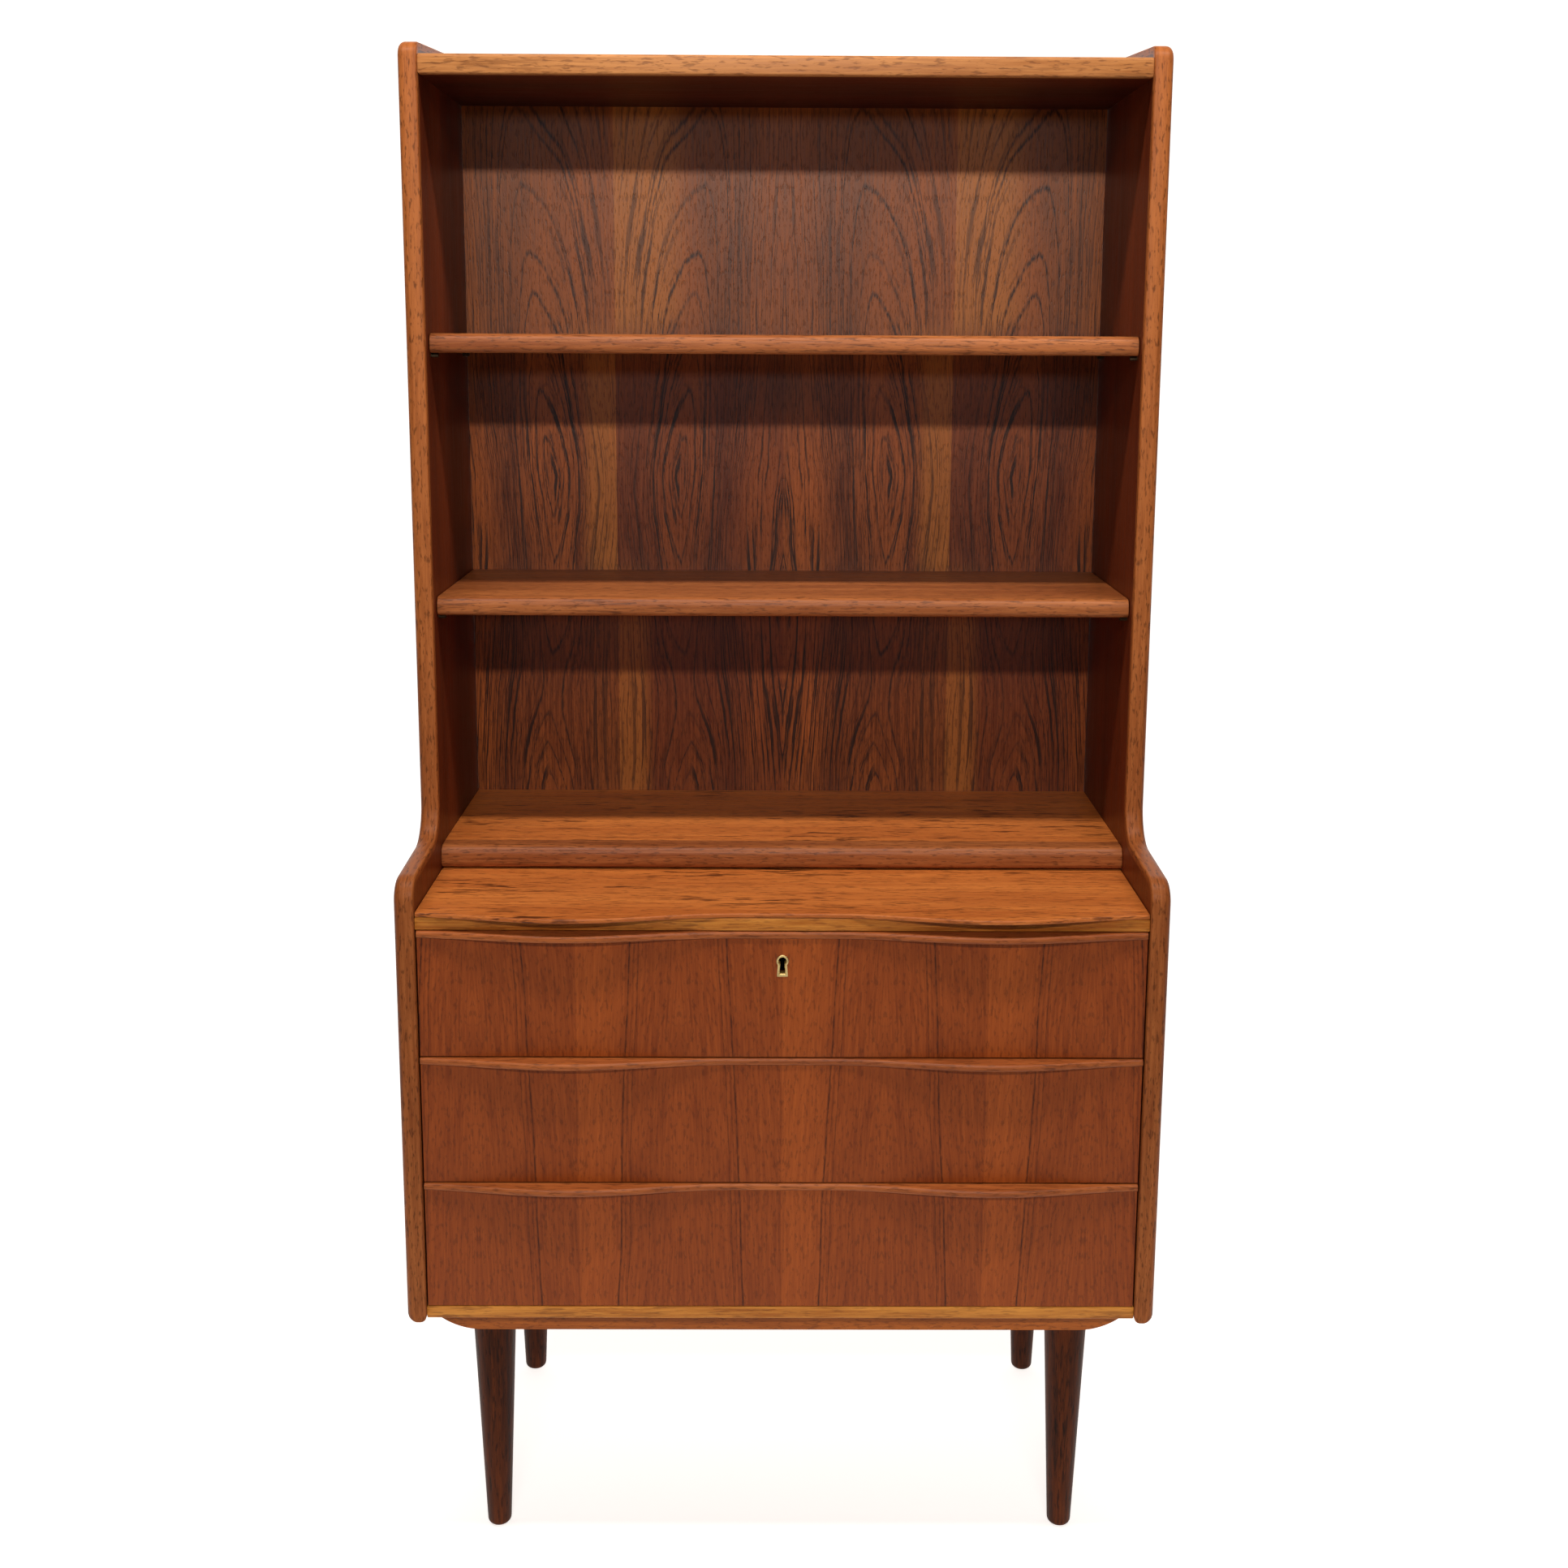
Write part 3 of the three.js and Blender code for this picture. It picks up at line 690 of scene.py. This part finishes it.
# Painted shade: the top panel's underside is made much darker than its top face, standing in for the shade
# under it.
top_panel_teak = two_sided_veneer("top_panel_teak", 0, 25, 2, CROWN_REAR - 44 * MM, CROWN_REAR - 36 * MM,
                                  (shade(56, 17, 7), shade(82, 27, 11)), (SHOW_DARK, SHOW_LIGHT))
brass = metal("brass", shade(250, 224, 158), 0.45, 91)
steel = metal("steel", shade(84, 70, 54), 0.5, 95)
keyhole_shade_iron = metal("keyhole_shade_iron", shade(24, 22, 20), 0.6, 97)


def paint(node, material, ease=0.0):
    """Gives a carried-over CAD node its material, and eases its edges."""
    piece = nodes[node]
    for place in piece.material_slots:
        place.link = "OBJECT"
        place.material = material
    if ease:
        bevel = piece.modifiers.new("eased_edges", "BEVEL")
        bevel.width = ease
        bevel.segments = 2
        bevel.limit_method = "ANGLE"
        bevel.angle_limit = math.radians(40)


# ---------------------------------------------------------------------------------------------
# Gables.

def gable_path():
    """The gable's front and top edge: (y, z, inward y, inward z) from the foot to the rear crown."""
    path = []
    for rise in (0, 0.5, 1.2, 2.4, 4.2, 8, 40):
        path.append((FRONT, FOOT + rise * MM, 1, 0))

    def turn(y, z, radius, start, end, steps, sign):
        for point in arc((y, z), radius, start, end, steps):
            path.append((*point, sign * (point[0] - y) / radius, sign * (point[1] - z) / radius))

    turn(FRONT + STEP_ROUND, STEP_FRONT - STEP_ROUND, STEP_ROUND, 180, 90, 14, -1)
    turn(FRONT + SETBACK - STEP_COVE, STEP_REAR + STEP_COVE, STEP_COVE, -90, 0, 16, 1)
    turn(FRONT + SETBACK + CROWN_ROUND, CROWN_FRONT - CROWN_ROUND, CROWN_ROUND, 180, 90, 10, -1)
    path.append((REAR, CROWN_REAR, 0, -1))
    return path


def foot_inset(rise, radius):
    """How far a rounded foot edge is set in at a height above the foot."""
    if rise >= radius:
        return 0.0
    return radius - math.sqrt(radius**2 - (radius - rise) ** 2)


def gable_lipping(side, outer, inward):
    """The solid edge that follows the gable's step, rounded over on its outer corner."""
    section = [(0, SIDE_LIPPING)]
    section += arc((OUTER_ROUND, OUTER_ROUND), OUTER_ROUND, 180, 270, 8)
    section += arc((BOARD - INNER_ROUND, INNER_ROUND), INNER_ROUND, 270, 360, 4)
    section.append((BOARD, SIDE_LIPPING))
    rings = []
    grain = []
    length = 0.0
    before = None
    for y, z, ny, nz in gable_path():
        length += math.dist((y, z), before) if before else 0.0
        before = (y, z)
        grain += [(x, d, length) for x, d in section]
        outside = foot_inset(z - FOOT, FOOT_OUTER_ROUND)
        inside = foot_inset(z - FOOT, FOOT_INNER_ROUND)
        ring = []
        for x, d in section:
            across = outside + x / BOARD * (BOARD - outside - inside)
            ring.append((outer + inward * across, y + ny * d, z + nz * d))
        rings.append(ring)
    name = f"{side}_side_lipping"
    return new_piece(f"{name}_rounded", *loft(rings), "root", edge_teak, [name], "teak_edge", grain=grain)


def gable_core(side, outer, inward):
    """The veneered board behind the lipping, with its foot rounded."""
    front = [(y + ny * SIDE_LIPPING, z + nz * SIDE_LIPPING) for y, z, ny, nz in gable_path()[5:]]
    steps = [t * MM for t in (0, 0.6, 1.6, 3.2, 5.4, 8)]
    stations = [(t, foot_inset(t, FOOT_OUTER_ROUND)) for t in steps]
    stations += [(BOARD - t, foot_inset(t, FOOT_INNER_ROUND)) for t in reversed(steps[:-1])]
    rings = []
    for t, rise in stations:
        foot = [(REAR, FOOT + rise), (FRONT + SIDE_LIPPING, FOOT + rise)]
        rings.append(along_x(foot + front, outer + inward * t))
    name = f"{side}_side"
    return new_piece(f"{name}_board", *loft(rings), "root", side_teak, [name], "teak_veneer")


def make_gables():
    for side, outer, inward in (("left", LEFT_LOW.x, 1), ("right", RIGHT_HIGH.x, -1)):
        gable_lipping(side, outer, inward)
        gable_core(side, outer, inward)


# ---------------------------------------------------------------------------------------------
# Boards.

def make_boards():
    low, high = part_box("top_lipping")
    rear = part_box("top_panel")[0].y
    outline = rounded_box_outline((low.y, low.z), (rear, high.z), (2 * MM, 4 * MM, 0, 0))
    bar("top_front_edge", outline, low.x, high.x, "root", pale_edge, ["top_lipping"], "golden_edge")

    low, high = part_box("counter_lipping")
    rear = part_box("counter_panel")[0].y
    outline = rounded_box_outline((low.y, low.z), (rear, high.z), (7 * MM, 10 * MM, 0, 0))
    bar("counter_nose", outline, low.x, high.x, "root", nose_teak, ["counter_lipping"], "teak_edge")

    for name in ("divider", "bottom"):
        low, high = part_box(f"{name}_lipping")
        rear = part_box(f"{name}_panel")[0].y
        outline = rounded_box_outline((low.y, low.z), (rear, high.z), (0.8 * MM, 0.8 * MM, 0, 0))
        bar(f"{name}_front_edge", outline, low.x, high.x, "root", golden, [f"{name}_lipping"], "golden_edge")

    for name in ("middle_shelf", "upper_shelf"):
        low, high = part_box(name)
        outline = rounded_box_outline((low.y, low.z), (high.y, high.z), (6 * MM, 9 * MM, 0, 0))
        bar(f"{name}_nosed", outline, low.x, high.x, "root", nose_teak, [name], "teak_veneer")

    paint("counter_panel", top_teak)
    paint("top_panel", top_panel_teak)
    for name in ("divider_panel", "bottom_panel"):
        paint(name, panel_teak)
    for name in ("back_upper", "back_lower"):
        paint(name, back_teak)


# ---------------------------------------------------------------------------------------------
# Lips.

def wave(x, swell):
    """How far a lip swells forward at x: straight in the middle, with a finger grip on each side."""
    along = (abs(x) - WAVE_START) / WAVE_LENGTH
    return swell * math.sin(math.pi * along) ** 2 if along > 0 else 0.0


def make_lip(node, behind, below, swell, body, radius, surface):
    """A wavy lip with a rounded front; behind and below are the nodes it is glued to."""
    low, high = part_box(node)
    length = high.x - low.x
    straight = low.y + max(wave(low.x + length * k / LIP_SAMPLES, swell) for k in range(LIP_SAMPLES + 1))
    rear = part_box(behind)[0].y if behind else high.y
    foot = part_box(below)[1].z if below else low.z
    rings = []
    for station in range(LIP_STATIONS + 1):
        x = low.x + length * station / LIP_STATIONS
        front = straight - wave(x, swell)
        outline = rounded_box_outline((front, foot), (rear, high.z), (radius, radius, 0, 0))
        rings.append(along_x(outline, x))
    new_piece(f"{node}_wavy", *loft(rings), body, surface, [node], "teak_edge")


def make_lips():
    make_lip("slide_lip", "slide_panel", None, LIP_SWELL["slide_lip"], "writing_slide", 1.8 * MM,
             top_teak)
    for name in ("top_drawer", "middle_drawer", "bottom_drawer"):
        make_lip(f"{name}_lip", None, f"{name}_front", LIP_SWELL["drawer"], name, 3 * MM, lip_teak)
    paint("slide_panel", top_teak)
    paint("slide_stop", pale_wood)


# ---------------------------------------------------------------------------------------------
# Drawers and lock.

def make_drawers():
    for name in ("top_drawer", "middle_drawer", "bottom_drawer"):
        paint(f"{name}_front", front_teak, 0.8 * MM)
        for part in ("side_left", "side_right", "runner_left", "runner_right"):
            paint(f"{name}_{part}", pale_wood_deep, 0.6 * MM)
        for part in ("back", "bottom"):
            paint(f"{name}_{part}", pale_wood, 0.6 * MM)
    # The lock case is near-black iron: partly a dark iron case, partly painted shade so the keyhole shows
    # dark.
    paint("lock_case", keyhole_shade_iron)
    paint("lock_bolt", brass)
    make_escutcheon()


def keyhole_outline(middle, head, neck, foot, bottom, cusp):
    """A keyhole in (x, z): a round head, a neck and a foot that splays out; the cusp is at the top."""
    nick = 0.5 * MM
    cusp_width = 0.16
    shoulder = math.acos(neck / head)
    outline = [(foot - nick, bottom), (foot, bottom + nick)]
    for step in range(HEAD_STEPS + 1):
        angle = -shoulder + (math.pi + 2 * shoulder) * step / HEAD_STEPS
        radius = head + cusp * math.exp(-((angle - math.pi / 2) / cusp_width) ** 2)
        outline.append((radius * math.cos(angle), middle + radius * math.sin(angle)))
    outline += [(-foot, bottom + nick), (-foot + nick, bottom)]
    return outline


def make_escutcheon():
    """The brass ring round the keyhole: a rounded rim on the drawer's face and a tube into the wood."""
    low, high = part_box("escutcheon")
    middle = high.z - RING_HEAD
    face = low.y + RING_FACE
    bottom = low.z - RING_DROP
    stations = [(face + behind, inset) for behind, inset in RING_SECTION]
    stations += [(high.y, RING_TUBE), (high.y, RING_BORE), (face + RING_LEDGE, RING_BORE)]
    rings = []
    for depth, inset in stations:
        narrowing = 1.25 * inset
        lift = 1.15 * inset
        cusp = RING_CUSP if inset < 1 * MM else 0.0
        outline = keyhole_outline(middle, RING_HEAD - inset, RING_NECK - narrowing,
                                  RING_FOOT - narrowing, bottom + lift, cusp)
        rings.append([(x, depth, z) for x, z in outline])
    new_piece("escutcheon_rim", *loft(rings, closed=True), "top_drawer", brass, ["escutcheon"], "brass",
              sharp=50)


# ---------------------------------------------------------------------------------------------
# Legs and battens.

def turned_leg(node):
    """A round tapered leg with a rounded foot."""
    low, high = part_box(node)
    centre = (low + high) / 2
    top_radius = (high.x - low.x) / 2
    profile = arc((LEG_FOOT_RADIUS - LEG_FOOT_ROUND, LEG_FOOT_ROUND), LEG_FOOT_ROUND, -90, 0, 6)
    for t in LEG_TAPER_STATIONS:
        radius = LEG_FOOT_RADIUS + (top_radius - LEG_FOOT_RADIUS) * t
        profile.append((radius, LEG_FOOT_ROUND + (high.z - LEG_FOOT_ROUND) * t))
    angles = [math.tau * k / LEG_SIDES for k in range(LEG_SIDES)]
    rings = []
    for radius, z in profile:
        rings.append([(centre.x + radius * math.cos(a), centre.y + radius * math.sin(a), z) for a in angles])
    new_piece(f"{node}_turned", *loft(rings), "root", leg_wood, [node], "dark_wood")


def make_legs():
    for place in ("front", "rear"):
        paint(f"{place}_batten", batten_teak, 1.5 * MM)
        for side in ("left", "right"):
            turned_leg(f"leg_{place}_{side}")


def make_pins():
    for shelf in ("upper", "middle"):
        for side in ("left", "right"):
            for place in ("front", "rear"):
                paint(f"{shelf}_pin_{side}_{place}", steel)


make_camera()
make_stage()
make_light()
make_gables()
make_boards()
make_lips()
make_drawers()
make_legs()
make_pins()
